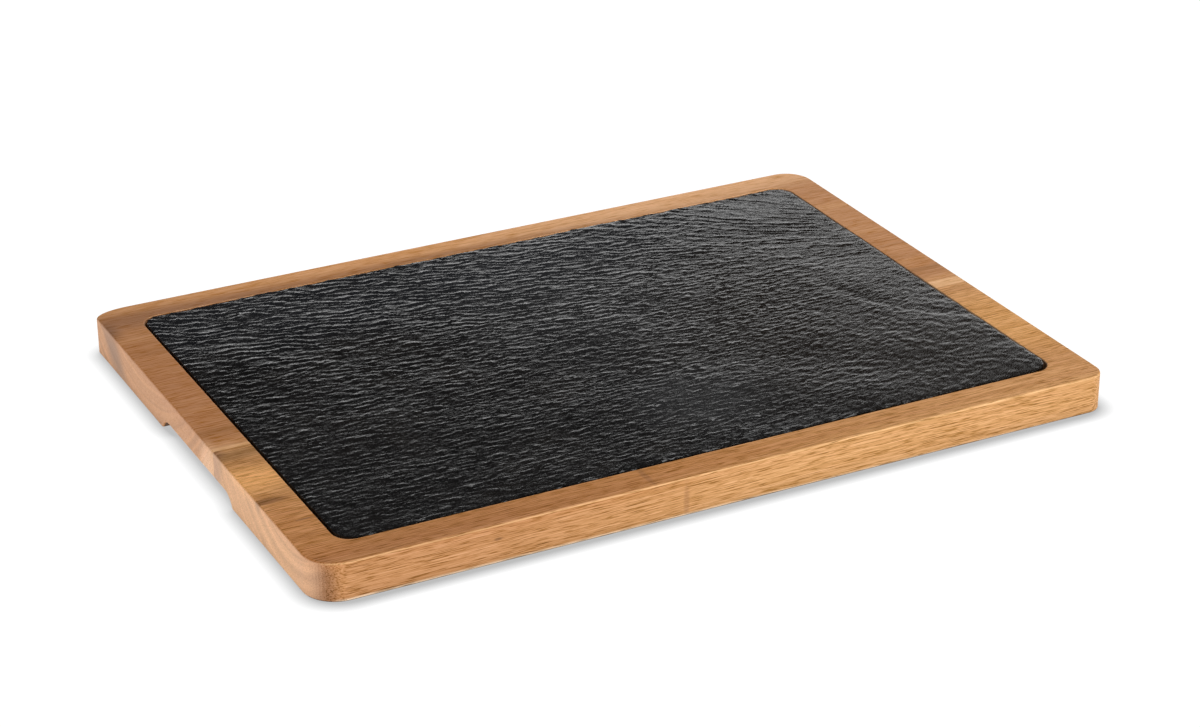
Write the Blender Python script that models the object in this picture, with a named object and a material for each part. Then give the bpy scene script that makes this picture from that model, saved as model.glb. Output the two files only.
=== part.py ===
"""Serving board of two edge-glued wood staves with a lift-out slate plate.

Metres, +Z up. The board lies along X and rests on z = 0 under its own centre.
"""

import math

import bmesh
import bpy
from mathutils import Matrix, Vector

# Slate plate: a riven slate with ground edges, laid loose in the board
SLATE_LENGTH = 0.380
SLATE_WIDTH = 0.262
SLATE_THICKNESS = 0.0055
SLATE_CORNER_RADIUS = 0.0085
SLATE_EDGE_CHAMFER = 0.0006

# Seat of the slate: free play all round and a hair of air below
SLATE_PLAY = 0.001
SLATE_BED_GAP = 0.0003

# Wood left around and under the pocket that takes the slate
END_RIM = 0.019
SIDE_RIM = 0.018
FLOOR_THICKNESS = 0.0137
POCKET_EDGE_CHAMFER = 0.0005

# Outside of the board
BOARD_CORNER_RADIUS = 0.013
BOARD_EDGE_RADIUS = 0.0015

# Plain butt joint between the two staves
FRONT_STAVE_WIDTH = 0.125
GLUE_LINE = 0.0003

# Finger grip routed into the underside at each short end with a ball nose
GRIP_LENGTH = 0.094
GRIP_DEPTH = 0.017
GRIP_HEIGHT = 0.006
GRIP_NOSE_RADIUS = 0.010

# How far a cutter stands out past the wood that it cuts
CUTTER_OVERHANG = 0.004

# Facets per quarter turn, and the angle above which two facets meet in a crisp edge
CORNER_SEGMENTS = 10
EDGE_SEGMENTS = 4
NOSE_SEGMENTS = 8
CRISP_ANGLE = math.radians(35)

POCKET_LENGTH = SLATE_LENGTH + 2 * SLATE_PLAY
POCKET_WIDTH = SLATE_WIDTH + 2 * SLATE_PLAY
POCKET_CORNER_RADIUS = SLATE_CORNER_RADIUS + SLATE_PLAY
BOARD_LENGTH = POCKET_LENGTH + 2 * END_RIM
BOARD_WIDTH = POCKET_WIDTH + 2 * SIDE_RIM
SLATE_BED_Z = FLOOR_THICKNESS + SLATE_BED_GAP
BOARD_THICKNESS = SLATE_BED_Z + SLATE_THICKNESS
JOINT_Y = FRONT_STAVE_WIDTH - BOARD_WIDTH / 2

Y_AXIS = Vector((0, 1, 0))
Z_AXIS = Vector((0, 0, 1))


def add_material(name, color, roughness):
    """Make a plain Principled BSDF material."""
    material = bpy.data.materials.new(name)
    material.use_nodes = True
    shader = material.node_tree.nodes["Principled BSDF"]
    shader.inputs["Base Color"].default_value = (*color, 1.0)
    shader.inputs["Roughness"].default_value = roughness
    return material


def add_object(name, bm, origin=Vector((0, 0, 0))):
    """Turn a bmesh built in board coordinates into an object with its own origin."""
    bmesh.ops.translate(bm, verts=bm.verts, vec=-origin)
    bmesh.ops.recalc_face_normals(bm, faces=bm.faces)
    mesh = bpy.data.meshes.new(name)
    bm.to_mesh(mesh)
    bm.free()
    mesh.shade_smooth()
    mesh.set_sharp_from_angle(angle=CRISP_ANGLE)
    obj = bpy.data.objects.new(name, mesh)
    obj.location = origin
    bpy.context.scene.collection.objects.link(obj)
    return obj


def add_cutter(name, bm):
    """Make a hidden object that only takes material away from others."""
    obj = add_object(name, bm)
    obj.hide_render = True
    obj.display_type = "WIRE"
    return obj


def subtract(obj, cutter):
    """Cut one object out of another."""
    modifier = obj.modifiers.new(cutter.name, "BOOLEAN")
    modifier.operation = "DIFFERENCE"
    modifier.solver = "EXACT"
    modifier.object = cutter


def box(bm, low, high):
    """Add a box between two opposite corners."""
    size = high - low
    matrix = Matrix.Translation((low + high) / 2) @ Matrix.Diagonal((*size, 1))
    bmesh.ops.create_cube(bm, size=1.0, matrix=matrix)


def upright_edges(bm):
    """Pick the edges that rise more than they run."""
    spans = {edge: edge.verts[1].co - edge.verts[0].co for edge in bm.edges}
    return [edge for edge, span in spans.items() if abs(span.z) > span.xy.length]


def round_edges(bm, edges, radius, segments):
    """Round edges over with a circular section."""
    bmesh.ops.bevel(bm, geom=edges, offset=radius, offset_type="OFFSET", segments=segments,
                    profile=0.5, affect="EDGES", material=-1, clamp_overlap=True)


def rounded_slab(bm, length, width, low_z, high_z, corner_radius):
    """Add a slab centred on the Z axis whose four upright corners are rounded."""
    low = Vector((-length / 2, -width / 2, low_z))
    high = Vector((length / 2, width / 2, high_z))
    box(bm, low, high)
    round_edges(bm, upright_edges(bm), corner_radius, CORNER_SEGMENTS)


def flat_face(bm, direction):
    """Find the face that shows the largest area from a given side."""
    bm.normal_update()
    return max(bm.faces, key=lambda face: face.normal.dot(direction) * face.calc_area())


def board_blank():
    """Make the whole board outline as one slab with eased top and bottom edges."""
    bm = bmesh.new()
    rounded_slab(bm, BOARD_LENGTH, BOARD_WIDTH, 0.0, BOARD_THICKNESS, BOARD_CORNER_RADIUS)
    rims = list(flat_face(bm, Z_AXIS).edges) + list(flat_face(bm, -Z_AXIS).edges)
    round_edges(bm, rims, BOARD_EDGE_RADIUS, EDGE_SEGMENTS)
    return bm


def stave(name, side):
    """Make the stave on one side of the glue line; side is +1 for the rear and -1 for the front."""
    bm = board_blank()
    cut_y = JOINT_Y + side * GLUE_LINE / 2
    geometry = list(bm.verts) + list(bm.edges) + list(bm.faces)
    cut = bmesh.ops.bisect_plane(bm, geom=geometry, plane_co=Y_AXIS * cut_y,
                                 plane_no=Y_AXIS * -side, clear_outer=True)
    rim = [item for item in cut["geom_cut"] if isinstance(item, bmesh.types.BMEdge)]
    bmesh.ops.contextual_create(bm, geom=rim)
    return add_object(name, bm)


def pocket_cutter():
    """Make the cutter for the slate's pocket, flared to chamfer the pocket's top edge."""
    bm = bmesh.new()
    flare_z = BOARD_THICKNESS - POCKET_EDGE_CHAMFER
    rounded_slab(bm, POCKET_LENGTH, POCKET_WIDTH, FLOOR_THICKNESS, flare_z, POCKET_CORNER_RADIUS)
    flare = POCKET_EDGE_CHAMFER + CUTTER_OVERHANG
    lid = flat_face(bm, Z_AXIS)
    moved = bmesh.ops.extrude_face_region(bm, geom=[lid])["geom"]
    bmesh.ops.delete(bm, geom=[lid], context="FACES_ONLY")
    rim = [item for item in moved if isinstance(item, bmesh.types.BMVert)]
    widen = Vector((1 + 2 * flare / POCKET_LENGTH, 1 + 2 * flare / POCKET_WIDTH, 1))
    bmesh.ops.scale(bm, verts=rim, vec=widen)
    bmesh.ops.translate(bm, verts=rim, vec=Z_AXIS * flare)
    return add_cutter("pocket_cutter", bm)


def grip_cutter(name, end):
    """Make the cutter for the finger grip at one short end; end is +1 or -1 along X."""
    drop = max(GRIP_NOSE_RADIUS - GRIP_HEIGHT, 0.0)
    reach = math.sqrt(GRIP_NOSE_RADIUS ** 2 - drop ** 2)
    half_y = GRIP_LENGTH / 2 - reach + GRIP_NOSE_RADIUS
    inner_x = BOARD_LENGTH / 2 - GRIP_DEPTH + reach - GRIP_NOSE_RADIUS
    outer_x = BOARD_LENGTH / 2 + GRIP_NOSE_RADIUS + CUTTER_OVERHANG
    low_z = min(GRIP_HEIGHT - GRIP_NOSE_RADIUS, 0.0) - CUTTER_OVERHANG
    near_x, far_x = sorted((end * inner_x, end * outer_x))
    bm = bmesh.new()
    box(bm, Vector((near_x, -half_y, low_z)), Vector((far_x, half_y, GRIP_HEIGHT)))
    edges = upright_edges(bm) + list(flat_face(bm, Z_AXIS).edges)
    round_edges(bm, edges, GRIP_NOSE_RADIUS, NOSE_SEGMENTS)
    return add_cutter(name, bm)


def slate_plate():
    """Make the slate plate with its ground top edge, its origin under its centre."""
    bm = bmesh.new()
    top_z = SLATE_BED_Z + SLATE_THICKNESS
    rounded_slab(bm, SLATE_LENGTH, SLATE_WIDTH, SLATE_BED_Z, top_z, SLATE_CORNER_RADIUS)
    round_edges(bm, list(flat_face(bm, Z_AXIS).edges), SLATE_EDGE_CHAMFER, 1)
    return add_object("slate_plate", bm, Z_AXIS * SLATE_BED_Z)


for old in list(bpy.data.objects):
    bpy.data.objects.remove(old, do_unlink=True)

rear_wood = add_material("acacia_rear", (0.42, 0.20, 0.08), 0.45)
front_wood = add_material("acacia_front", (0.46, 0.23, 0.09), 0.45)
slate_stone = add_material("slate", (0.025, 0.026, 0.028), 0.5)

rear_stave = stave("rear_stave", 1)
rear_stave.data.materials.append(rear_wood)
front_stave = stave("front_stave", -1)
front_stave.data.materials.append(front_wood)
slate = slate_plate()
slate.data.materials.append(slate_stone)

cutters = [pocket_cutter(), grip_cutter("left_grip_cutter", -1), grip_cutter("right_grip_cutter", 1)]
for wood in (rear_stave, front_stave):
    for cutter in cutters:
        subtract(wood, cutter)
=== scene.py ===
"""Serving board of oiled acacia with a riven slate plate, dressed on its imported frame.

Metres, +Z up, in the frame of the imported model: +X along the board, +Y away from the camera.
Sizes that the frame gives are read from it, and the others are real sizes too.
"""

import logging
import math
from dataclasses import dataclass
from enum import Enum
from functools import partial
from typing import Any, Iterable

import bmesh
import bpy
from mathutils import Matrix, Vector, noise


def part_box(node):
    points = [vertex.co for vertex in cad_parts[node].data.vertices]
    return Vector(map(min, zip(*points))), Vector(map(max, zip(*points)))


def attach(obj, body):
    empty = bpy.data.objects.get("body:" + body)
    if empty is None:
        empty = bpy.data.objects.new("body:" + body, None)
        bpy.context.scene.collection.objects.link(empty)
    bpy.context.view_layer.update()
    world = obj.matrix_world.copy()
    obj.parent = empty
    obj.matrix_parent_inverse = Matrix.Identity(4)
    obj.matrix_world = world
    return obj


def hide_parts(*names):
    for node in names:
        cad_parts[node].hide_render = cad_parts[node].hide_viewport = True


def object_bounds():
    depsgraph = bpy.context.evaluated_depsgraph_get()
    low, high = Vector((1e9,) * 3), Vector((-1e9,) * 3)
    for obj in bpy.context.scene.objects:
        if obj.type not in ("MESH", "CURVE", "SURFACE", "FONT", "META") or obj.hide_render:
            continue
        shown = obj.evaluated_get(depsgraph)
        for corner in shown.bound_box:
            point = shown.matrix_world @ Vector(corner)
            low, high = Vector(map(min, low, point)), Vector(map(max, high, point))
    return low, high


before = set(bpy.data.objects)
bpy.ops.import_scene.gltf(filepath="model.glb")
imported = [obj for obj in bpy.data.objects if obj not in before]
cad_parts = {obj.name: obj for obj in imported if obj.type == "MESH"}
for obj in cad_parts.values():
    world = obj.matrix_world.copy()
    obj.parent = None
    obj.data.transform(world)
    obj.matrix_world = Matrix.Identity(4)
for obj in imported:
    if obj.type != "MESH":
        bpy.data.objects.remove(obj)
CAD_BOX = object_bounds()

LOG = logging.getLogger("serving_board")

MM = 0.001
TO_MM = 1000.0
UP = Vector((0, 0, 1))
ACROSS = Vector((0, 1, 0))

# Socket numbers of a Mix node, whose names repeat for numbers and for colours
MIX_FACTOR, MIX_LOW, MIX_HIGH = 0, 2, 3
MIX_A, MIX_B, MIX_RESULT = 6, 7, 2
# Noise keeps mostly to the middle half of its range
NOISE_RANGE = (0.25, 0.75)
# How fast the finer layers of a noise fade, and how much finer each one is
NOISE_LAYERS = (0.8, 2.0)
# Finer layers that a noise texture has
PLAIN, LIVELY, RICH = 1.0, 2.0, 3.0
# Slack for picking points by their place
HAIR = 0.05 * MM
CLEAVAGE_MAP = "cleavage_lines"

Color = tuple[float, float, float, float]
Pair = tuple[float, float]
Triple = tuple[float, float, float]
Shape = bmesh.types.BMesh
Socket = bpy.types.NodeSocket
Tree = bpy.types.NodeTree


def linear(hex_code: str) -> Color:
    """Turn an sRGB hex colour into linear RGBA.

    Args:
        hex_code: six hex digits after a hash sign.

    Returns:
        Linear red, green, blue and a full alpha.
    """
    channels = [int(hex_code[i:i + 2], 16) / 255 for i in (1, 3, 5)]
    bent = [c / 12.92 if c <= 0.04045 else ((c + 0.055) / 1.055) ** 2.4 for c in channels]
    return (bent[0], bent[1], bent[2], 1.0)


def smooth_step(value: float, low: float, high: float) -> float:
    """Ease a value from 0 at its low end to 1 at its high end."""
    part = min(max((value - low) / (high - low), 0.0), 1.0)
    return part * part * (3 - 2 * part)


def fill(tree: Tree, node: bpy.types.Node, inputs: dict[Any, Any]) -> None:
    """Set a node's inputs to values, or link them from sockets.

    Args:
        tree: the node tree.
        node: the node to fill.
        inputs: a value, or a socket to link from, for each input name or number.
    """
    for key, value in inputs.items():
        if isinstance(value, Socket):
            tree.links.new(value, node.inputs[key])
        else:
            node.inputs[key].default_value = value


def add_node(tree: Tree, kind: str, inputs: dict[Any, Any] | None = None,
             **settings: Any) -> bpy.types.Node:
    """Add a node with its settings, and fill or link its inputs.

    Args:
        tree: the node tree to add to.
        kind: the node's Blender type.
        inputs: a value, or a socket to link from, for each input name or number.
        settings: the node's own properties.

    Returns:
        The new node.
    """
    node = tree.nodes.new(kind)
    for name, value in settings.items():
        setattr(node, name, value)
    fill(tree, node, inputs or {})
    return node


def millimetres(tree: Tree) -> Socket:
    """Give the place in the object's own frame, in millimetres."""
    place = add_node(tree, "ShaderNodeTexCoord").outputs["Object"]
    return add_node(tree, "ShaderNodeVectorMath", {0: place, "Scale": TO_MM}, operation="SCALE").outputs[0]


def new_material(name: str) -> tuple[bpy.types.Material, Tree, bpy.types.Node]:
    """Make an empty node material.

    Args:
        name: the material's name.

    Returns:
        The material, its node tree and its Principled shader.
    """
    material = bpy.data.materials.new(name)
    material.use_nodes = True
    tree = material.node_tree
    return material, tree, tree.nodes["Principled BSDF"]


def add_mesh(name: str, bm: Shape) -> bpy.types.Object:
    """Turn a bmesh into a smooth-shaded object at the origin.

    Args:
        name: the object's name.
        bm: the shape, which is freed.

    Returns:
        The new object.
    """
    mesh = bpy.data.meshes.new(name)
    bm.to_mesh(mesh)
    bm.free()
    mesh.shade_smooth()
    piece = bpy.data.objects.new(name, mesh)
    bpy.context.scene.collection.objects.link(piece)
    return piece


def everything(bm: Shape) -> list[Any]:
    """List all vertices, edges and faces of a bmesh."""
    return [*bm.verts, *bm.edges, *bm.faces]


def add_box(bm: Shape, low: Vector, high: Vector) -> None:
    """Add a box between its lowest and its highest corner."""
    matrix = Matrix.Translation((low + high) / 2) @ Matrix.Diagonal((*(high - low), 1))
    bmesh.ops.create_cube(bm, size=1.0, matrix=matrix)


def upright_edges(bm: Shape) -> list[bmesh.types.BMEdge]:
    """List the edges that rise more than they run."""
    spans = {edge: edge.verts[1].co - edge.verts[0].co for edge in bm.edges}
    return [edge for edge, span in spans.items() if abs(span.z) > span.xy.length]


def widest_face(bm: Shape, direction: Vector) -> bmesh.types.BMFace:
    """Find the face that shows the largest area from one side."""
    bm.normal_update()
    return max(bm.faces, key=lambda face: face.normal.dot(direction) * face.calc_area())


def round_edges(bm: Shape, edges: Iterable[bmesh.types.BMEdge], radius: float, segments: int) -> None:
    """Round edges over in a number of facets, with a circular section of a radius in metres."""
    bmesh.ops.bevel(bm, geom=list(edges), offset=radius, offset_type="OFFSET", segments=segments,
                    profile=0.5, affect="EDGES", material=-1, clamp_overlap=True)


def flare(inside: float, radius: float) -> float:
    """Give the extra half width of a hole at a depth inside its rounded lip, which is negative outside."""
    rise = min(max(radius - inside, 0.0), radius)
    return radius - math.sqrt(radius ** 2 - rise ** 2)


class Stave(Enum):
    """The two planks of the board, by the side of the glue line they lie on."""

    REAR = 1
    FRONT = -1

    @property
    def node(self) -> str:
        """Name of the stave's CAD node."""
        return f"{self.name.lower()}_stave"

    @property
    def slot(self) -> str:
        """Name of the stave's material slot in the record."""
        return f"acacia_{self.name.lower()}"


class End(Enum):
    """The board's two short ends, by the sign of X."""

    LEFT = -1
    RIGHT = 1


class Mark(Enum):
    """What a face of the wood is, or what shade or highlight is painted on it, by the name of the face
    attribute that carries it, from 0 to 1.
    """

    END_GRAIN = "end_grain"
    RUBBED_HIGHLIT_EDGE = "rubbed_highlit_edge"
    PAINTED_GRIP_SHADE = "painted_grip_shade"


@dataclass(frozen=True)
class ColourPatch:
    """A soft local change of colour, such as a mineral streak, a pin knot, a cloud in stone, a painted
    highlight or a painted sheen.

    Places and spreads are in millimetres, in the object's frame. The slant turns the spread about
    the X axis, in degrees. A straight patch doesn't sway with the grain. The core is the part of the
    spread that has the full strength.
    """

    place: Triple
    spread: Triple
    tone: str
    strength: float
    slant: float = 0.0
    straight: bool = False
    core: float = 0.25

    def laid_over(self, tree: Tree, color: Socket, place: Socket) -> Socket:
        """Lay the patch over a colour.

        Args:
            tree: the node tree.
            color: the colour so far.
            place: coordinates in millimetres.

        Returns:
            The colour.
        """
        node = partial(add_node, tree)
        centred = node("ShaderNodeVectorMath", {0: place, 1: self.place}, operation="SUBTRACT").outputs[0]
        turned = node("ShaderNodeVectorRotate", {"Vector": centred, "Angle": math.radians(self.slant)},
                      rotation_type="X_AXIS").outputs[0]
        part = node("ShaderNodeVectorMath", {0: turned, 1: self.spread}, operation="DIVIDE").outputs[0]
        reach = node("ShaderNodeVectorMath", {0: part}, operation="LENGTH").outputs["Value"]
        inputs = {"Value": reach, "From Min": 1.0, "From Max": self.core, "To Max": self.strength}
        cover = node("ShaderNodeMapRange", inputs, interpolation_type="SMOOTHSTEP").outputs[0]
        inputs = {MIX_FACTOR: cover, MIX_A: color, MIX_B: linear(self.tone)}
        return node("ShaderNodeMix", inputs, data_type="RGBA").outputs[MIX_RESULT]


@dataclass(frozen=True)
class OiledAcacia:
    """Planed and oiled acacia, cut from one log with its pith along X.

    The eye gets brown to golden heartwood in soft bands that follow the growth rings, pale sapwood
    beyond a radius, short dark and light flecks of pores along the grain that show as dots on end
    grain, long top edges rubbed paler and given a painted highlight, painted shade inside the finger
    grips, and a satin sheen. Real pores are about 0.2 mm wide, too fine to show, so the flecks are
    drawn two to three times as coarse.
    """

    name: str
    pith: Pair
    sapwood_radius: float
    light_tone: str
    middle_tone: str
    dark_tone: str
    sap_tone: str
    end_tone: str
    # Paler long top edges: partly rubbed by use, partly a painted highlight
    rubbed_highlit_tone: str
    # Painted shade inside the finger grips
    grip_shade_tone: str = "#3f2e22"
    colour_patches: tuple[ColourPatch, ...] = ()
    figure: float = 0.6
    taper: float = 0.0
    band_width: float = 9.0
    ring_width: float = 1.7
    cloud_length: float = 70.0
    sapwood_edge: float = 3.0
    sapwood_wobble: float = 5.0
    fibre_width: float = 0.6
    fibre_length: float = 60.0
    fleck_width: float = 0.55
    fleck_length: float = 9.0
    fleck_share: float = 0.5
    bend_length: float = 170.0
    bend_width: float = 45.0
    bend_depth: float = 5.0
    fleck_depth: float = 0.04
    fleck_range: Pair = (0.33, 0.5)
    sheen_range: Pair = (0.3, 0.7)
    roughness: Pair = (0.68, 0.55)
    oil_ior: float = 1.47
    gloss: float = 0.3
    ring_share: float = 0.35
    cloud_share: float = 0.65
    tone_reach: float = 0.28
    middle_stop: float = 0.45
    end_share: float = 0.45
    # Share of the painted shade inside the finger grips
    grip_shade_share: float = 0.75
    grain_shade: Pair = (0.42, 1.32)
    grain_depth: Pair = (1.2, 0.87)
    end_ring_width: float = 4.5
    end_ring_shade: Pair = (0.91, 1.09)

    def material(self) -> bpy.types.Material:
        """Build the wood.

        Returns:
            The material.
        """
        material, tree, shader = new_material(self.name)
        node = partial(add_node, tree)
        place = millimetres(tree)
        bent = self.bent(tree, place)
        radius = self.pith_distance(tree, bent)
        color = self.heartwood(tree, radius, bent)
        color = self.with_sapwood(tree, color, radius, bent)
        for patch in self.colour_patches:
            color = patch.laid_over(tree, color, place if patch.straight else bent)
        grain = self.grain(tree, bent)
        shade, depth = [
            node("ShaderNodeMapRange", {"Value": grain, "To Min": low, "To Max": high}).outputs[0]
            for low, high in (self.grain_shade, self.grain_depth)]
        inputs = {"Color": color, "Value": shade, "Saturation": depth}
        color = node("ShaderNodeHueSaturation", inputs).outputs[0]
        color = self.with_marked(tree, color, Mark.END_GRAIN, self.end_share, self.end_tone)
        color = self.with_end_rings(tree, color, radius)
        # Long top edges: rubbed paler, and a painted highlight where the eased edge catches the light
        color = self.with_marked(tree, color, Mark.RUBBED_HIGHLIT_EDGE, grain, self.rubbed_highlit_tone)
        # Painted shade inside the finger grips
        color = self.with_marked(tree, color, Mark.PAINTED_GRIP_SHADE, self.grip_shade_share, self.grip_shade_tone)
        sheen = {"Value": grain, "From Min": self.sheen_range[0], "From Max": self.sheen_range[1],
                 "To Min": self.roughness[0], "To Max": self.roughness[1]}
        pores = {"Height": grain, "Strength": 1.0, "Distance": self.fleck_depth * MM}
        fill(tree, shader, {
            "Base Color": color,
            "Roughness": node("ShaderNodeMapRange", sheen).outputs[0],
            "Normal": node("ShaderNodeBump", pores).outputs[0],
            "IOR": self.oil_ior,
            "Specular IOR Level": self.gloss,
        })
        return material

    def drawn_out(self, tree: Tree, place: Socket, length: float, width: float) -> Socket:
        """Scale places so that a feature of a length along the grain and a width across is one unit."""
        scale = (1 / length, 1 / width, 1 / width)
        return add_node(tree, "ShaderNodeVectorMath", {0: place, 1: scale}, operation="MULTIPLY").outputs[0]

    def ring_noise(self, tree: Tree, radius: Socket, width: float, detail: float) -> Socket:
        """Draw rings about one width apart, lighter and darker at random."""
        inputs = {"W": radius, "Scale": 1 / width, "Detail": detail}
        return add_node(tree, "ShaderNodeTexNoise", inputs, noise_dimensions="1D").outputs[0]

    def bent(self, tree: Tree, place: Socket) -> Socket:
        """Sway the grain, as it sways in a trunk.

        Args:
            tree: the node tree.
            place: straight coordinates in millimetres.

        Returns:
            Swaying coordinates in millimetres.
        """
        sway = add_node(tree, "ShaderNodeTexNoise", {
            "Vector": self.drawn_out(tree, place, self.bend_length, self.bend_width),
            "Scale": 1.0, "Detail": LIVELY}).outputs["Color"]
        reach = (0.0, self.bend_depth, self.bend_depth)
        half_back = tuple(-side / 2 for side in reach)
        sway = add_node(tree, "ShaderNodeVectorMath", {0: sway, 1: reach, 2: half_back},
                        operation="MULTIPLY_ADD").outputs[0]
        return add_node(tree, "ShaderNodeVectorMath", {0: place, 1: sway}, operation="ADD").outputs[0]

    def pith_distance(self, tree: Tree, place: Socket) -> Socket:
        """Measure how far out in the log a point is, seen from its pith and allowing for its taper.

        Args:
            tree: the node tree.
            place: swaying place in millimetres.

        Returns:
            The distance in millimetres, as in the middle of the board.
        """
        node = partial(add_node, tree)
        offset = (0.0, -self.pith[0], -self.pith[1])
        radial = node("ShaderNodeVectorMath", {0: place, 1: (0.0, 1.0, 1.0), 2: offset},
                      operation="MULTIPLY_ADD").outputs[0]
        radius = node("ShaderNodeVectorMath", {0: radial}, operation="LENGTH").outputs["Value"]
        slope = node("ShaderNodeVectorMath", {0: place, 1: (self.taper, 0.0, 0.0)}, operation="DOT_PRODUCT")
        return node("ShaderNodeMath", {0: radius, 1: slope.outputs["Value"]}, operation="ADD").outputs[0]

    def heartwood(self, tree: Tree, radius: Socket, place: Socket) -> Socket:
        """Colour the heartwood by its rings.

        Args:
            tree: the node tree.
            radius: millimetres from the pith.
            place: swaying place in millimetres.

        Returns:
            The colour.
        """
        node = partial(add_node, tree)
        bands = self.ring_noise(tree, radius, self.band_width, LIVELY)
        rings = self.ring_noise(tree, radius, self.ring_width, PLAIN)
        cloud = node("ShaderNodeTexNoise", {
            "Vector": self.drawn_out(tree, place, self.cloud_length, self.band_width),
            "Scale": 1.0, "Detail": RICH}).outputs[0]
        depth = bands
        for pattern, share in ((rings, self.ring_share), (cloud, self.cloud_share)):
            inputs = {0: pattern, 1: share, 2: depth}
            depth = node("ShaderNodeMath", inputs, operation="MULTIPLY_ADD").outputs[0]
        reach = self.tone_reach / self.figure
        depth = node("ShaderNodeMapRange", {"Value": depth, "From Min": 1 - reach, "From Max": 1 + reach})
        ramp = node("ShaderNodeValToRGB", {"Fac": depth.outputs[0]})
        stops = ramp.color_ramp.elements
        stops[0].color = linear(self.dark_tone)
        stops[1].color = linear(self.light_tone)
        stops.new(self.middle_stop).color = linear(self.middle_tone)
        return ramp.outputs[0]

    def with_sapwood(self, tree: Tree, color: Socket, radius: Socket, place: Socket) -> Socket:
        """Turn the wood pale beyond the sapwood radius.

        Args:
            tree: the node tree.
            color: the heartwood's colour.
            radius: millimetres from the pith.
            place: swaying place in millimetres.

        Returns:
            The colour.
        """
        node = partial(add_node, tree)
        edge = node("ShaderNodeTexNoise", {
            "Vector": self.drawn_out(tree, place, self.cloud_length, self.band_width),
            "Scale": 1.0, "Detail": LIVELY}).outputs[0]
        inputs = {0: edge, 1: self.sapwood_wobble, 2: radius}
        edge = node("ShaderNodeMath", inputs, operation="MULTIPLY_ADD").outputs[0]
        start = self.sapwood_radius + (self.sapwood_wobble - self.sapwood_edge) / 2
        inputs = {"Value": edge, "From Min": start, "From Max": start + self.sapwood_edge}
        pale = node("ShaderNodeMapRange", inputs, interpolation_type="SMOOTHSTEP").outputs[0]
        inputs = {MIX_FACTOR: pale, MIX_A: color, MIX_B: linear(self.sap_tone)}
        return node("ShaderNodeMix", inputs, data_type="RGBA").outputs[MIX_RESULT]

    def grain(self, tree: Tree, place: Socket) -> Socket:
        """Draw long fibres and short flecks of pores.

        Args:
            tree: the node tree.
            place: swaying place in millimetres.

        Returns:
            The pattern, 0 in the darkest pores and 1 on the lightest fibres.
        """
        node = partial(add_node, tree)
        patterns = []
        for length, width, detail, (low, high) in (
            (self.fibre_length, self.fibre_width, RICH, NOISE_RANGE),
            (self.fleck_length, self.fleck_width, LIVELY, self.fleck_range),
        ):
            inputs = {"Vector": self.drawn_out(tree, place, length, width), "Scale": 1.0, "Detail": detail}
            pattern = node("ShaderNodeTexNoise", inputs).outputs[0]
            inputs = {"Value": pattern, "From Min": low, "From Max": high}
            patterns.append(node("ShaderNodeMapRange", inputs).outputs[0])
        inputs = {MIX_FACTOR: self.fleck_share, MIX_LOW: patterns[0], MIX_HIGH: patterns[1]}
        return node("ShaderNodeMix", inputs).outputs[0]

    def with_end_rings(self, tree: Tree, color: Socket, radius: Socket) -> Socket:
        """Darken and lighten the end grain by its rings.

        Args:
            tree: the node tree.
            color: the colour so far.
            radius: millimetres from the pith.

        Returns:
            The colour.
        """
        node = partial(add_node, tree)
        rings = self.ring_noise(tree, radius, self.end_ring_width, LIVELY)
        inputs = {"Value": rings, "From Min": NOISE_RANGE[0], "From Max": NOISE_RANGE[1],
                  "To Min": self.end_ring_shade[0], "To Max": self.end_ring_shade[1]}
        shade = node("ShaderNodeMapRange", inputs).outputs[0]
        share = node("ShaderNodeAttribute", attribute_name=Mark.END_GRAIN.value).outputs["Fac"]
        return node("ShaderNodeHueSaturation", {"Color": color, "Value": shade, "Fac": share}).outputs[0]

    def with_marked(self, tree: Tree, color: Socket, mark: Mark, strength: float | Socket,
                    tone: str) -> Socket:
        """Tint the faces that carry a mark.

        Args:
            tree: the node tree.
            color: the colour so far.
            mark: what the faces are.
            strength: share of the tint where the mark is 1.
            tone: the tint.

        Returns:
            The colour.
        """
        node = partial(add_node, tree)
        share = node("ShaderNodeAttribute", attribute_name=mark.value).outputs["Fac"]
        share = node("ShaderNodeMath", {0: share, 1: strength}, operation="MULTIPLY").outputs[0]
        inputs = {MIX_FACTOR: share, MIX_A: color, MIX_B: linear(tone)}
        return node("ShaderNodeMix", inputs, data_type="RGBA").outputs[MIX_RESULT]


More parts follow.
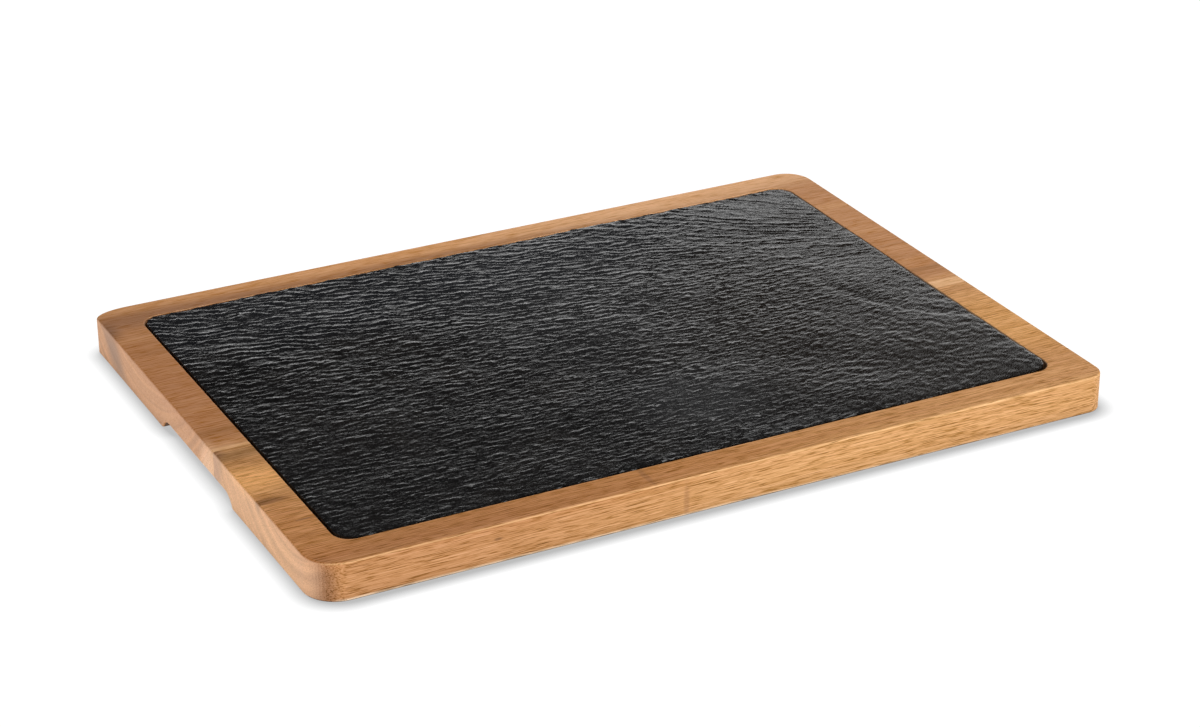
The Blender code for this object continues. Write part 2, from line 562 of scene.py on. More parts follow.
@dataclass(frozen=True)
class RivenSlate:
    """Slate split along its cleavage and oiled.

    The eye gets a near-black stone with faint grey and brown clouds, two of them painted sheen, a
    fine tooth that runs with the ripples that the mesh holds, and satin glints where the ripples face the
    light.
    """

    name: str = "riven_slate"
    tones: tuple[str, str, str] = ("#070606", "#0f0d0d", "#151210")
    tone_stops: Triple = (0.35, 0.5, 0.68)
    cloud_width: float = 28.0
    cloud_detail: float = 5.0
    cloud_roughness: float = 0.6
    clouds_and_sheen: tuple[ColourPatch, ...] = (
        ColourPatch((30, 60, 19), (110, 130, 60), "#262627", 0.7),
        # Painted sheen: a lighter patch in the near middle of the plate
        ColourPatch((22, -80, 19), (52, 46, 60), "#2a2a2b", 0.8),
        ColourPatch((170, -30, 19), (190, 190, 60), "#19120b", 0.7),
        # Painted sheen over the far left of the plate
        ColourPatch((-70, 125, 19), (270, 90, 60), "#212328", 0.45),
    )
    tooth_width: float = 1.4
    tooth_length: float = 2.0
    tooth_depth: float = 0.15
    sheen_range: Pair = (0.3, 0.7)
    roughness: Pair = (0.32, 0.22)
    stone_ior: float = 1.5

    def material(self) -> bpy.types.Material:
        """Build the stone.

        Returns:
            The material.
        """
        material, tree, shader = new_material(self.name)
        node = partial(add_node, tree)
        place = millimetres(tree)
        cloud = node("ShaderNodeTexNoise", {
            "Vector": place, "Scale": 1 / self.cloud_width,
            "Detail": self.cloud_detail, "Roughness": self.cloud_roughness}).outputs[0]
        ramp = node("ShaderNodeValToRGB", {"Fac": cloud})
        stops = ramp.color_ramp.elements
        stops.new(self.tone_stops[1])
        for stop, value, tone in zip(stops, self.tone_stops, self.tones):
            stop.position = value
            stop.color = linear(tone)
        color = ramp.outputs[0]
        for patch in self.clouds_and_sheen:
            color = patch.laid_over(tree, color, place)
        lines = node("ShaderNodeUVMap", uv_map=CLEAVAGE_MAP).outputs[0]
        scale = (1 / self.tooth_length, 1 / self.tooth_width, 1.0)
        tooth = node("ShaderNodeVectorMath", {0: lines, 1: scale}, operation="MULTIPLY").outputs[0]
        inputs = {"Vector": tooth, "Scale": 1.0, "Detail": PLAIN}
        tooth = node("ShaderNodeTexNoise", inputs, noise_dimensions="2D").outputs[0]
        sheen = {"Value": tooth, "From Min": self.sheen_range[0], "From Max": self.sheen_range[1],
                 "To Min": self.roughness[0], "To Max": self.roughness[1]}
        teeth = {"Height": tooth, "Strength": 1.0, "Distance": self.tooth_depth * MM}
        fill(tree, shader, {
            "Base Color": color,
            "Roughness": node("ShaderNodeMapRange", sheen).outputs[0],
            "Normal": node("ShaderNodeBump", teeth).outputs[0],
            "IOR": self.stone_ior,
        })
        return material


@dataclass
class Board:
    """The wooden board: two glued staves with a pocket for the slate and two finger grips.

    It lies centred on the origin, as the slate does.
    """

    low: Vector
    high: Vector
    joint_y: float
    slate_low: Vector
    slate_high: Vector
    bed_gap: float = 0.3 * MM
    play: float = 1.0 * MM
    pocket_corner_radius: float = 9.5 * MM
    lip_radius: float = 0.4 * MM
    edge_radius: float = 1.1 * MM
    foot_radius: float = 0.5 * MM
    # The long top edges are tinted paler: partly rubbing, partly a painted highlight
    rubbed_highlit_area: float = 0.002
    rubbed_highlit_strength: float = 0.55
    far_right_radius: float = 15.0 * MM
    far_left_radius: float = 8.0 * MM
    far_left_run: float = 18.0 * MM
    near_left_radius: float = 16.5 * MM
    near_right_radius: float = 9.5 * MM
    glue_line: float = 0.02 * MM
    grip_length: float = 94.0 * MM
    grip_depth: float = 17.0 * MM
    grip_height: float = 5.7 * MM
    nose_radius: float = 10.0 * MM
    mouth_radius: float = 0.8 * MM
    overhang: float = 4.0 * MM
    corner_segments: int = 16
    edge_segments: int = 5
    nose_segments: int = 10
    lip_steps: int = 4
    crisp_angle: float = math.radians(35)
    flat_weight: int = 100
    clear_rise: float = 2.0
    end_turn: Pair = (0.55, 0.97)
    # Which faces get the rubbed paler tint and painted highlight of the long top edges
    rubbed_highlit_upward: Pair = (0.05, 0.5)
    rubbed_highlit_outward: Pair = (0.5, 0.72)
    glued_side: Pair = (0.995, 1.0)

    def blank(self) -> Shape:
        """Make the outside of the board, with hand-sanded corners and eased edges.

        Returns:
            The shape.
        """
        bm = bmesh.new()
        add_box(bm, self.low, self.high)
        radii = {(1, 1): self.far_right_radius, (-1, 1): self.far_left_radius,
                 (-1, -1): self.near_left_radius, (1, -1): self.near_right_radius}
        for (side_x, side_y), radius in radii.items():
            corner = [edge for edge in upright_edges(bm)
                      if all(v.co.x * side_x > 0 and v.co.y * side_y > 0 for v in edge.verts)]
            round_edges(bm, corner, radius, self.corner_segments)
        reach = self.far_left_radius + HAIR
        far_left = [vert for vert in bm.verts
                    if vert.co.x < self.low.x + reach and vert.co.y > self.high.y - reach]
        bmesh.ops.scale(bm, vec=Vector((self.far_left_run / self.far_left_radius, 1, 1)), verts=far_left,
                        space=Matrix.Translation((-self.low.x, 0, 0)))
        round_edges(bm, widest_face(bm, UP).edges, self.edge_radius, self.edge_segments)
        round_edges(bm, widest_face(bm, -UP).edges, self.foot_radius, self.edge_segments)
        return bm

    def pocket_cutter(self) -> Shape:
        """Make the space of the slate's pocket, with a rounded lip.

        Returns:
            The shape.
        """
        bm = bmesh.new()
        around = Vector((self.play, self.play, 0))
        low = self.slate_low - around - UP * self.bed_gap
        high = self.slate_high + around
        high.z = self.high.z - self.lip_radius
        add_box(bm, low, high)
        round_edges(bm, upright_edges(bm), self.pocket_corner_radius, self.corner_segments)
        size = high - low
        opened = 0.0
        rises = [math.sin(step / self.lip_steps * math.pi / 2) for step in range(1, self.lip_steps + 1)]
        for rise in [*rises, self.clear_rise]:
            level = self.high.z - self.lip_radius + rise * self.lip_radius
            wider = flare(self.high.z - level, self.lip_radius)
            lid = widest_face(bm, UP)
            rim = bmesh.ops.extrude_face_region(bm, geom=[lid])["geom"]
            bmesh.ops.delete(bm, geom=[lid], context="FACES_ONLY")
            verts = [item for item in rim if isinstance(item, bmesh.types.BMVert)]
            growth = Vector(((size.x + 2 * wider) / (size.x + 2 * opened),
                             (size.y + 2 * wider) / (size.y + 2 * opened), 1))
            bmesh.ops.scale(bm, vec=growth, verts=verts)
            bmesh.ops.translate(bm, vec=UP * (level - verts[0].co.z), verts=verts)
            opened = wider
        bmesh.ops.recalc_face_normals(bm, faces=bm.faces)
        return bm

    def grip_cutter(self, end: End) -> Shape:
        """Make the space of one finger grip, cut with a ball nose and eased at its mouth.

        Args:
            end: the short end that the grip is under.

        Returns:
            The shape.
        """
        nose = self.nose_radius
        reach = math.sqrt(nose ** 2 - (nose - self.grip_height) ** 2)
        path_y = self.grip_length / 2 - reach
        path_x = self.high.x - self.grip_depth + reach
        path_z = self.grip_height - nose
        bm = bmesh.new()
        add_box(bm, Vector((path_x - nose, -path_y - nose, path_z - self.overhang)),
                Vector((self.high.x + nose + self.overhang, path_y + nose, self.grip_height)))
        round_edges(bm, upright_edges(bm) + list(widest_face(bm, UP).edges), nose, self.nose_segments)
        levels = [self.mouth_radius * step / self.lip_steps for step in range(self.lip_steps + 1)]
        for level in levels:
            bmesh.ops.bisect_plane(bm, geom=everything(bm), plane_co=UP * level, plane_no=UP)
            face = Vector((self.high.x - level, 0, 0))
            bmesh.ops.bisect_plane(bm, geom=everything(bm), plane_co=face, plane_no=Vector((1, 0, 0)))
        for vert in bm.verts:
            beyond = Vector((min(vert.co.x - path_x, 0),
                             vert.co.y - min(max(vert.co.y, -path_y), path_y),
                             vert.co.z - path_z))
            sideways = Vector((beyond.x, beyond.y, 0)).normalized()
            outward = Vector((0, beyond.y, max(beyond.z, 0))).normalized()
            under = flare(vert.co.z, self.mouth_radius)
            mouth = flare(self.high.x - vert.co.x, self.mouth_radius)
            vert.co += sideways * under + outward * mouth
        if end is End.LEFT:
            bmesh.ops.scale(bm, vec=Vector((-1, 1, 1)), verts=bm.verts)
        bmesh.ops.recalc_face_normals(bm, faces=bm.faces)
        return bm

    def carve(self) -> bpy.types.Mesh:
        """Cut the pocket and the grips out of the blank.

        Returns:
            The whole board as one mesh.
        """
        whole = add_mesh("whole_board", self.blank())
        cutters = [add_mesh("pocket_space", self.pocket_cutter())]
        cutters += [add_mesh(f"{end.name.lower()}_grip_space", self.grip_cutter(end)) for end in End]
        for cutter in cutters:
            cut = whole.modifiers.new(cutter.name, "BOOLEAN")
            cut.operation = "DIFFERENCE"
            cut.solver = "EXACT"
            cut.object = cutter
        graph = bpy.context.evaluated_depsgraph_get()
        carved = bpy.data.meshes.new_from_object(whole.evaluated_get(graph))
        for spent in [whole, *cutters]:
            bpy.data.objects.remove(spent)
        return carved

    def mark_faces(self, bm: Shape) -> None:
        """Mark the end grain, the rubbed long edges with their painted highlight and the painted grip
        shade.

        Args:
            bm: the stave.
        """
        bm.normal_update()
        end_grain, rubbed_highlit_edge, painted_grip_shade = [bm.faces.layers.float.new(mark.value) for mark in Mark]
        for face in bm.faces:
            middle = face.calc_center_median()
            face[end_grain] = smooth_step(abs(face.normal.x), *self.end_turn)
            # Long top edges, rubbed paler and given a painted highlight
            if self.high.z - middle.z < self.edge_radius and face.calc_area() < self.rubbed_highlit_area:
                upturned = smooth_step(face.normal.z, *self.rubbed_highlit_upward)
                face[rubbed_highlit_edge] = self.rubbed_highlit_strength * upturned * smooth_step(abs(face.normal.y), *self.rubbed_highlit_outward)
            # Painted shade inside the finger grips, except on the glued side faces
            inside = abs(middle.x) < self.high.x - self.mouth_radius
            if inside and self.low.z < middle.z < self.grip_height + self.mouth_radius:
                face[painted_grip_shade] = 1.0 - smooth_step(abs(face.normal.y), *self.glued_side)

    def saw(self, carved: bpy.types.Mesh, stave: Stave) -> bpy.types.Object:
        """Take one stave from the carved board.

        Args:
            carved: the whole board.
            stave: which stave to keep.

        Returns:
            The stave.
        """
        bm = bmesh.new()
        bm.from_mesh(carved)
        cut_y = self.joint_y + stave.value * self.glue_line / 2
        cut = bmesh.ops.bisect_plane(bm, geom=everything(bm), plane_co=ACROSS * cut_y,
                                     plane_no=ACROSS * -stave.value, clear_outer=True)
        rim = [item for item in cut["geom_cut"] if isinstance(item, bmesh.types.BMEdge)]
        bmesh.ops.contextual_create(bm, geom=rim)
        bmesh.ops.recalc_face_normals(bm, faces=bm.faces)
        self.mark_faces(bm)
        piece = add_mesh(f"dressed_{stave.node}", bm)
        piece.data.set_sharp_from_angle(angle=self.crisp_angle)
        normals = piece.modifiers.new("flat_faces_stay_flat", "WEIGHTED_NORMAL")
        normals.mode = "FACE_AREA"
        normals.weight = self.flat_weight
        normals.keep_sharp = True
        return piece

    def build(self, finishes: dict[Stave, OiledAcacia]) -> list[bpy.types.Object]:
        """Make and dress both staves.

        Args:
            finishes: the wood of each stave.

        Returns:
            The staves.
        """
        carved = self.carve()
        pieces = []
        for stave, finish in finishes.items():
            piece = self.saw(carved, stave)
            piece.data.materials.clear()
            piece.data.materials.append(finish.material())
            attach(piece, "board")
            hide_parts(stave.node)
            pieces.append(piece)
        return pieces


@dataclass(frozen=True)
class ShellWave:
    """A long curved trough that the split left in the slate, like a wave line in a shell.

    The sizes are in millimetres. The trough starts at a bearing in degrees, seen towards its centre,
    and its outer side is the steeper one.
    """

    centre: Pair
    radius: float
    depth: float
    start: float
    outer_width: float = 2.6
    inner_width: float = 5.0
    run_in: float = 20.0

    def rise(self, x: float, y: float) -> float:
        """Give the height of the trough at a place.

        Args:
            x: millimetres along the plate.
            y: millimetres across the plate.

        Returns:
            The height in millimetres, which is 0 or less.
        """
        inward = Vector(self.centre) - Vector((x, y))
        bearing = math.degrees(math.atan2(inward.y, inward.x))
        share = smooth_step(bearing, self.start, self.start + self.run_in)
        beyond = inward.length - self.radius
        width = self.outer_width if beyond > 0 else self.inner_width
        return -self.depth * share * math.exp(-(beyond / width) ** 2)


@dataclass
class SlatePlate:
    """The loose slate plate, whose split face is modelled ripple by ripple."""

    low: Vector
    high: Vector
    columns: int = 258
    rows: int = 368
    right_crowding: float = 0.25
    corner_rows: int = 14
    far_radii: Pair = (9.0 * MM, 10.0 * MM)
    near_radii: Pair = (9.5 * MM, 11.5 * MM)
    left_shy: float = 0.4 * MM
    right_proud: float = 0.4 * MM
    far_proud: float = 0.5 * MM
    chip_depth: float = 0.4 * MM
    chip_length: float = 4.0 * MM
    arris_width: float = 1.2 * MM
    arris_drop: float = 0.15 * MM
    face_drop: float = 0.05 * MM
    line_lean: float = 0.2
    lean_change: float = 1.1e-3
    near_closing: float = 1.4e-3
    fan_axis: float = 25.0
    fan_start: float = 40.0
    far_fan: float = 2.7e-7
    near_fan: float = 3.5e-7
    coarse_side: Pair = (-20.0, 40.0)
    ridge_spacing: float = 4.2
    ridge_height: float = 0.71
    mean_ridge: float = 0.3
    fineness: float = 1.6
    fine_share: float = 0.45
    fine_set: int = 20
    crest_sharpness: float = 2.5
    crest_run: float = 6.0
    sway: float = 1.2
    sway_length: float = 18.0
    sway_width: float = 9.0
    jag: float = 0.8
    far_jag: float = 0.4
    far_side: Pair = (-20.0, 90.0)
    far_right: Pair = (40.0, 130.0)
    jag_size: float = 3.0
    ripple_length: float = 5.0
    ripple_width: float = 2.5
    ripple_height: float = 0.08
    scale_width: float = 3.0
    scale_height: float = 0.22
    scale_share: float = 0.4
    calm_right: Pair = (0.0, 140.0)
    calm_near: Pair = (-40.0, 60.0)
    calming: float = 0.45
    right_end: Pair = (110.0, 185.0)
    right_calming: float = 0.45
    near_side: Pair = (-110.0, 110.0)
    near_calming: float = 0.35
    shell_waves: tuple[ShellWave, ...] = (
        ShellWave((237.0, 23.0), 96.0, 0.21, -5.0),
        ShellWave((198.0, -39.0), 57.5, 0.1, 10.0),
    )
    swell_width: float = 45.0
    swell_height: float = 0.6
    crest_lean: float = 0.6
    crest_mean: float = 0.65
    crest_change: float = 0.9
    crest_step: float = 3.7
    layer_step: float = 5.3
    jag_slice: float = 2.0
    swell_slice: float = 3.0
    scale_slice: float = 40.0
    coarse_zoom: float = 0.5
    ripple_layers: int = 2
    chip_layers: int = 3
    crisp_angle: float = math.radians(50)

    def flow(self, x: float, y: float) -> float:
        """Number the cleavage lines, which lean and close up towards the near side and the right end.

        Args:
            x: millimetres along the plate.
            y: millimetres across the plate.

        Returns:
            The number of the line, one to a millimetre in the middle of the plate.
        """
        spread = self.far_fan if y > self.fan_axis else self.near_fan
        lean = self.line_lean + self.lean_change * y
        straight = y - self.near_closing * min(y, 0.0) ** 2
        return straight + lean * x + spread * (y - self.fan_axis) * max(x - self.fan_start, 0.0) ** 3

    def crowding(self, x: float, y: float) -> float:
        """Count the cleavage lines per millimetre, square to them, at a place in millimetres."""
        here = self.flow(x, y)
        return math.hypot(self.flow(x + 1, y) - here, self.flow(x, y + 1) - here)

    def ridge(self, along: float, across: float, layer: int, jagged: float) -> float:
        """Give one set of wavy ridges with peaked crests, which swell and die out along their run.

        Args:
            along: place along the ridges in millimetres.
            across: place across the ridges in millimetres.
            layer: number of the set.
            jagged: how far the crests jump from side to side, in parts of their spacing.

        Returns:
            The height, 0 in the valleys and about 1 on a tall crest.
        """
        depth = self.layer_step * layer
        sway = noise.noise(Vector((along / self.sway_length, across / self.sway_width, depth)))
        jag = noise.noise(Vector((along / self.jag_size, across / self.jag_size, depth + self.jag_slice)))
        phase = across / self.ridge_spacing + self.sway * sway + jagged * jag
        number = round(phase)
        swell = noise.noise(Vector((along / self.crest_run, self.crest_step * number, depth)))
        crest = 1 - 2 * abs(phase - number)
        return max(self.crest_mean + self.crest_change * swell, 0.0) * crest ** self.crest_sharpness

    def ripple(self, x: float, y: float) -> float:
        """Run ridges along the cleavage lines, and coarser ones where they close up on the far side.

        Args:
            x: millimetres along the plate.
            y: millimetres across the plate.

        Returns:
            The height, about 0 to 1.
        """
        crowded = min(math.log2(max(self.crowding(x, y), 1.0)), 1.0)
        coarse = crowded * smooth_step(y, *self.coarse_side)
        across = self.flow(x, y)
        even = smooth_step(y, *self.far_side) * (1 - self.right_calming * smooth_step(x, *self.far_right))
        jagged = self.jag + (self.far_jag - self.jag) * even
        total = 0.0
        for number, share in enumerate((1 - coarse, coarse)):
            zoom = self.coarse_zoom ** number
            fine = zoom * self.fineness
            total += share * self.ridge(x * zoom, across * zoom, number, jagged)
            fine_ridge = self.ridge(x * fine, across * fine, number + self.fine_set, jagged)
            total += share * self.fine_share * fine_ridge
        return total

    def relief(self, x: float, y: float) -> float:
        """Give the height of the split face.

        Args:
            x: millimetres along the plate.
            y: millimetres across the plate.

        Returns:
            The height above the mean face in millimetres.
        """
        swell = noise.noise(Vector((x / self.swell_width, y / self.swell_width, self.swell_slice)))
        place = Vector((x / self.ripple_length, self.flow(x, y) / self.ripple_width, 0.0))
        ripple = noise.fractal(place, *NOISE_LAYERS, self.ripple_layers)
        ridges = self.ripple(x, y) - self.mean_ridge
        near = self.near_calming * smooth_step(-y, *self.near_side)
        right = self.right_calming * smooth_step(x, *self.right_end)
        calm = smooth_step(x, *self.calm_right) * smooth_step(-y, *self.calm_near)
        scales = noise.noise(Vector((x, y, self.scale_slice)) / self.scale_width)
        scaly = self.scale_height * (self.scale_share + (1 - self.scale_share) * calm)
        ridge_height = self.ridge_height * (1 - self.calming * calm) * (1 - near) * (1 - right)
        waves = sum(wave.rise(x, y) for wave in self.shell_waves)
        return (ridge_height * ridges + self.ripple_height * ripple + self.swell_height * swell
                + scaly * scales + waves)

    def corner_radius(self, along: float, across: float) -> float:
        """Give the radius of the corners on one side, blended by the place along X, from -0.5 to 0.5."""
        left, right = self.far_radii if across > 0 else self.near_radii
        return left + (right - left) * (along + 0.5)

    def outline(self, along: float, across: float) -> Pair:
        """Map a square grid onto the plate's rounded outline.

        Args:
            along: grid place along X, from -0.5 to 0.5.
            across: grid place along Y, from -0.5 to 0.5.

        Returns:
            The place in metres.
        """
        along -= self.right_crowding * (along ** 2 - 0.25)
        radius = self.corner_radius(along, across)
        straight = 1 - 2 * self.corner_rows / self.rows
        part = abs(across) * 2
        if part <= straight:
            y = part / straight * (self.high.y - radius)
            reach = self.high.x
        else:
            turn = (part - straight) / (1 - straight) * math.pi / 2
            y = self.high.y - radius + radius * math.sin(turn)
            reach = self.high.x - radius + radius * math.cos(turn)
        return along * 2 * reach, math.copysign(y, across)

    def edge_distance(self, x: float, y: float) -> float:
        """Measure how far a point is inside the outline.

        Args:
            x: place along the plate in metres.
            y: place across the plate in metres.

        Returns:
            The distance in metres.
        """
        radius = self.corner_radius(x / self.high.x / 2, y)
        out_x = abs(x) - (self.high.x - radius)
        out_y = abs(y) - (self.high.y - radius)
        beyond = math.hypot(max(out_x, 0.0), max(out_y, 0.0))
        return radius - beyond - min(max(out_x, out_y), 0.0)

    def split_face(self) -> Shape:
        """Make the rippled top, with a chipped arris and a map of the cleavage lines.

        Returns:
            The open face.
        """
        bm = bmesh.new()
        bmesh.ops.create_grid(bm, x_segments=self.columns, y_segments=self.rows, size=0.5)
        half_x, half_y = self.high.xy
        for vert in bm.verts:
            x, y = self.outline(vert.co.x, vert.co.y)
            edge = 1 - smooth_step(self.edge_distance(x, y), 0.0, self.arris_width)
            chip = noise.fractal(Vector((x, y, 0.0)) / self.chip_length, *NOISE_LAYERS, self.chip_layers)
            pull = 1 - edge * self.chip_depth * max(0.5 + 0.5 * chip, 0.0) / half_x
            rise = self.relief(x * TO_MM, y * TO_MM) * MM
            z = self.high.z - self.face_drop + rise - edge * self.arris_drop
            x_cut = max(x / half_x, 0.0) * self.right_proud + max(-x / half_x, 0.0) * self.left_shy
            y_cut = max(y / half_y, 0.0) * self.far_proud
            vert.co = Vector((x * pull + x_cut, y * pull + y_cut - (1 - edge) * self.crest_lean * rise, z))
        lines = bm.loops.layers.uv.new(CLEAVAGE_MAP)
        for face in bm.faces:
            for loop in face.loops:
                x, y = loop.vert.co.xy * TO_MM
                loop[lines].uv = Vector((x, self.flow(x, y)))
        return bm

    def build(self, finish: RivenSlate) -> bpy.types.Object:
        """Make and dress the plate.

        Args:
            finish: the stone.

        Returns:
            The plate.
        """
        bm = self.split_face()
        rim = [edge for edge in bm.edges if edge.is_boundary]
        skirt = bmesh.ops.extrude_edge_only(bm, edges=rim)["geom"]
        for item in skirt:
            if isinstance(item, bmesh.types.BMVert):
                item.co.z = self.low.z
        hem = [edge for edge in bm.edges if edge.is_boundary]
        bmesh.ops.contextual_create(bm, geom=hem)
        bmesh.ops.recalc_face_normals(bm, faces=bm.faces)
        piece = add_mesh("dressed_slate_plate", bm)
        piece.data.set_sharp_from_angle(angle=self.crisp_angle)
        piece.data.materials.append(finish.material())
        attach(piece, "slate")
        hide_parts("slate_plate")
        return piece


@dataclass(frozen=True)
class Softbox:
    """A rectangular studio light that faces the middle of the table."""

    name: str
    place: Triple
    width: float
    height: float
    power: float

    def build(self) -> None:
        """Hang the light."""
        lamp = bpy.data.lights.new(self.name, "AREA")
        lamp.shape = "RECTANGLE"
        lamp.size = self.width
        lamp.size_y = self.height
        lamp.energy = self.power
        light = bpy.data.objects.new(self.name, lamp)
        light.location = self.place
        light.rotation_euler = (-Vector(self.place)).to_track_quat("-Z", "Y").to_euler()
        bpy.context.scene.collection.objects.link(light)


@dataclass
class Studio:
    """White table, soft lights and the camera of the photograph."""

    floor_size: float = 8.0
    floor_drop: float = 0.15 * MM
    floor_light: float = 1.06
    # Reach, lean and floor of the painted contact shadow on the glowing table
    contact_reach: float = 10.0 * MM
    shade_lean: Triple = (0.0, 0.35, 0.94)
    deepest_shade: float = 0.48
    shade_samples: int = 32
    room_light: float = 0.04
    softboxes: tuple[Softbox, ...] = (
        Softbox("low_back_softbox", (0.47, 0.66, 0.13), 1.1, 0.22, 1.55),
        Softbox("overhead_right_softbox", (0.8, -0.3, 1.2), 1.0, 1.0, 13.7),
        Softbox("left_softbox", (-2.0, -0.6, 0.5), 1.2, 0.8, 18.7),
        Softbox("front_softbox", (0.7, -2.0, 0.5), 1.4, 0.8, 16.7),
        Softbox("high_front_softbox", (0.0, -1.9, 1.05), 2.0, 0.7, 8.8),
        Softbox("high_back_left_softbox", (-1.3, 1.2, 1.0), 1.4, 0.6, 4.4),
    )
    camera_place: Vector = Vector((-617.26, -1214.86, 666.77)) * MM
    azimuth: float = -27.173
    elevation: float = 25.810
    roll: float = -0.195
    lens: float = 90.05
    sensor: float = 36.0
    clip: Pair = (0.01, 50.0)

    def build_floor(self) -> None:
        """Lay the table: overexposed white paper that glows, with a painted contact shadow only where the
        board is close.
        """
        bm = bmesh.new()
        bmesh.ops.create_grid(bm, x_segments=1, y_segments=1, size=self.floor_size / 2)
        bmesh.ops.translate(bm, vec=-UP * self.floor_drop, verts=bm.verts)
        floor = add_mesh("white_table", bm)
        material, tree, shader = new_material("glowing_paper_painted_shadow")
        tree.nodes.remove(shader)
        # Painted contact shadow: ambient occlusion darkens the glow near the board
        lean = add_node(tree, "ShaderNodeCombineXYZ", dict(enumerate(self.shade_lean))).outputs[0]
        inputs = {"Distance": self.contact_reach, "Normal": lean}
        near = add_node(tree, "ShaderNodeAmbientOcclusion", inputs, samples=self.shade_samples)
        inputs = {0: near.outputs["AO"], 1: self.deepest_shade}
        shade = add_node(tree, "ShaderNodeMath", inputs, operation="MAXIMUM").outputs[0]
        glow = add_node(tree, "ShaderNodeEmission", {"Color": shade, "Strength": self.floor_light})
        fill(tree, tree.nodes["Material Output"], {"Surface": glow.outputs[0]})
        floor.data.materials.append(material)

    def build_lights(self) -> None:
        """Hang the softboxes in a dim room, so that the slate stays dark, before a white backdrop."""
        world = bpy.data.worlds.new("dim_room")
        world.use_nodes = True
        tree = world.node_tree
        seen = add_node(tree, "ShaderNodeLightPath").outputs["Is Camera Ray"]
        inputs = {"Value": seen, "To Min": self.room_light, "To Max": self.floor_light}
        strength = add_node(tree, "ShaderNodeMapRange", inputs).outputs[0]
        fill(tree, tree.nodes["Background"], {"Color": linear("#ffffff"), "Strength": strength})
        bpy.context.scene.world = world
        bpy.context.scene.view_settings.view_transform = "Standard"
        for softbox in self.softboxes:
            softbox.build()

    def build_camera(self) -> None:
        """Stand the camera where the photograph was taken from."""
        pose = Matrix.Translation(self.camera_place)
        for angle, axis in ((self.azimuth, "Z"), (90 - self.elevation, "X"), (self.roll, "Z")):
            pose = pose @ Matrix.Rotation(math.radians(angle), 4, axis)
        data = bpy.data.cameras.new("photo_camera")
        data.sensor_fit = "HORIZONTAL"
        data.sensor_width = self.sensor
        data.lens = self.lens
        data.clip_start, data.clip_end = self.clip
        camera = bpy.data.objects.new("photo_camera", data)
        camera.matrix_world = pose
        bpy.context.scene.collection.objects.link(camera)
        bpy.context.scene.camera = camera

    def build(self) -> None:
        """Set up the whole studio."""
        self.build_floor()
        self.build_lights()
        self.build_camera()


REAR_WOOD = OiledAcacia(
    name="oiled_acacia_rear",
    pith=(75.0, 102.0),
    sapwood_radius=125.0,
    sapwood_edge=1.8,
    sapwood_wobble=3.0,
    taper=0.0089,
    figure=0.7,
    grain_shade=(0.6, 1.22),
    light_tone="#cb915b",
    middle_tone="#ba7e49",
    dark_tone="#a26c38",
    sap_tone="#e2ad78",
    end_tone="#d3a788",
    rubbed_highlit_tone="#f6c998",
    colour_patches=(
        # Left end, and the left rim's outer edge
        ColourPatch((-213, 117, 10), (14, 13, 26), "#5f4a40", 0.9, slant=53.0),
        ColourPatch((-214, -16, 5), (12, 14, 24), "#f6c59c", 0.85),
        ColourPatch((-214, 50, 21), (60, 110, 9), "#b26a3e", 0.25),
        # Far rim
        ColourPatch((20, 150, 20), (360, 16, 10), "#e6a363", 0.85),
        ColourPatch((130, 144, 20), (190, 24, 10), "#ecb581", 0.55),
        ColourPatch((-40, 131, 20), (300, 8, 8), "#84552f", 0.3),
        # Glue line and far left corner
        ColourPatch((0, -6, 19), (420, 12, 6), "#94602f", 0.3),
        ColourPatch((-200, 132, 21), (130, 16, 7), "#8f6247", 0.45),
    ),
)
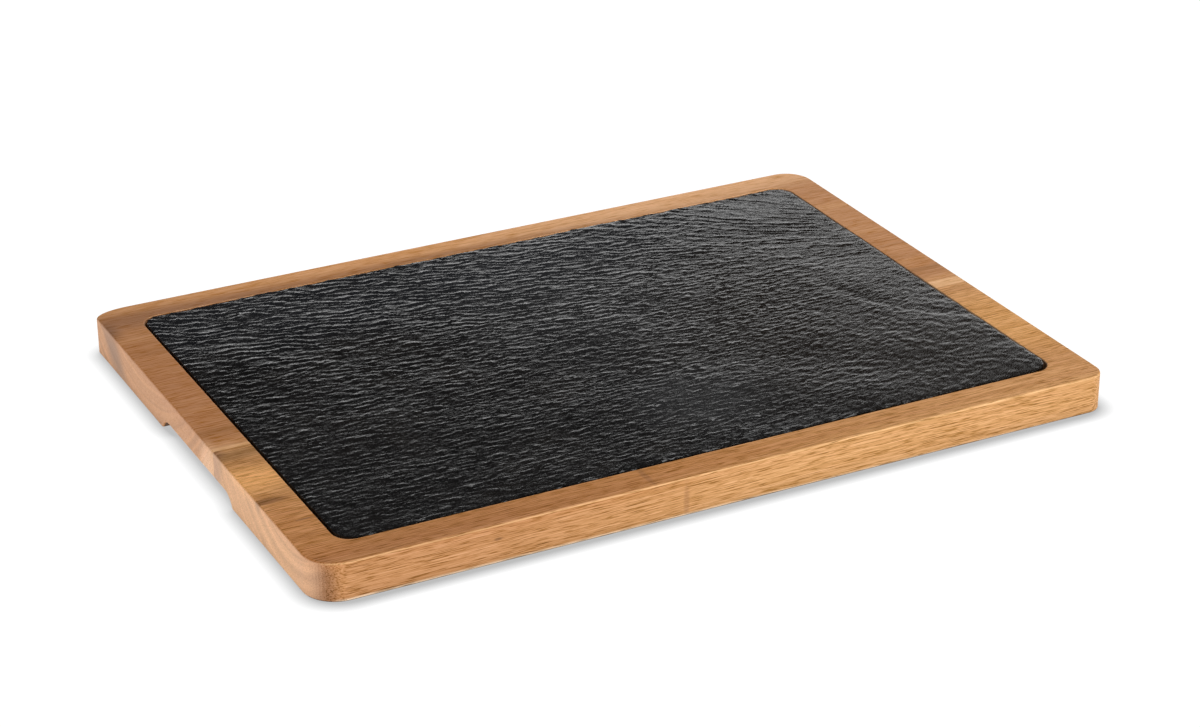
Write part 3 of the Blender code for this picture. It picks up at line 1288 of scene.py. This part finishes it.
FRONT_WOOD = OiledAcacia(
    name="oiled_acacia_front",
    pith=(-119.0, 71.0),
    sapwood_radius=130.0,
    figure=0.5,
    fibre_width=0.45,
    fleck_width=0.4,
    grain_shade=(0.2, 1.52),
    light_tone="#cb9457",
    middle_tone="#bd844a",
    dark_tone="#a06c3a",
    sap_tone="#d49c60",
    end_tone="#efc3a1",
    rubbed_highlit_tone="#fbcd93",
    colour_patches=(
        # Front face, near rim and near left corner
        ColourPatch((0, -153, 10), (900, 8, 90), "#c8955a", 0.6),
        ColourPatch((-90, -141, 20), (250, 18, 6), "#ac681e", 0.5),
        ColourPatch((-226, -150, 14), (290, 32, 44), "#a0653a", 0.5),
        ColourPatch((-206, -147, 8), (10, 11, 22), "#7d5230", 0.75),
        # Left end and left rim
        ColourPatch((-210, -31, 17), (60, 8, 16), "#8a6238", 0.55, slant=-20.0),
        ColourPatch((-214, -25, 9), (12, 15, 26), "#7a5140", 0.8),
        ColourPatch((-214, -112, 21), (50, 60, 10), "#bd7638", 0.4),
        ColourPatch((-207, -59, 21), (40, 20, 9), "#e6a45c", 0.9),
        # Right rim
        ColourPatch((204, -76, 21), (44, 56, 12), "#d89a4a", 0.45),
        # Pin knots and small marks
        ColourPatch((-206, -82, 19), (16, 4, 8), "#6d4526", 0.6),
        ColourPatch((-196, -104, 19.5), (7, 1, 3), "#5d3a20", 0.6),
        ColourPatch((-122, -150, 13), (3, 3, 1.1), "#5a381e", 0.5),
        ColourPatch((-26, -150, 7), (2.2, 4, 14), "#8a5a32", 0.4),
        ColourPatch((-42, -139, 19.5), (2.4, 15, 4), "#7f5230", 0.4),
        # Pale foot of the front face: a painted highlight along the eased bottom edge
        ColourPatch((-200, -151, 0), (560, 4, 1.9), "#f8e3c6", 0.6, straight=True),
    ),
)


def main() -> None:
    """Build the studio and every piece of the board, and report them."""
    logging.basicConfig(level=logging.INFO, format="%(name)s: %(message)s")
    Studio().build()
    slate_low, slate_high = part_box("slate_plate")
    joint_y = (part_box("front_stave")[1].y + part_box("rear_stave")[0].y) / 2
    board = Board(CAD_BOX[0], CAD_BOX[1], joint_y, slate_low, slate_high)
    pieces = board.build({Stave.REAR: REAR_WOOD, Stave.FRONT: FRONT_WOOD})
    pieces.append(SlatePlate(slate_low, slate_high).build(RivenSlate()))
    for piece in pieces:
        LOG.info("%s has %d faces", piece.name, len(piece.data.polygons))


if __name__ == "__main__":
    main()
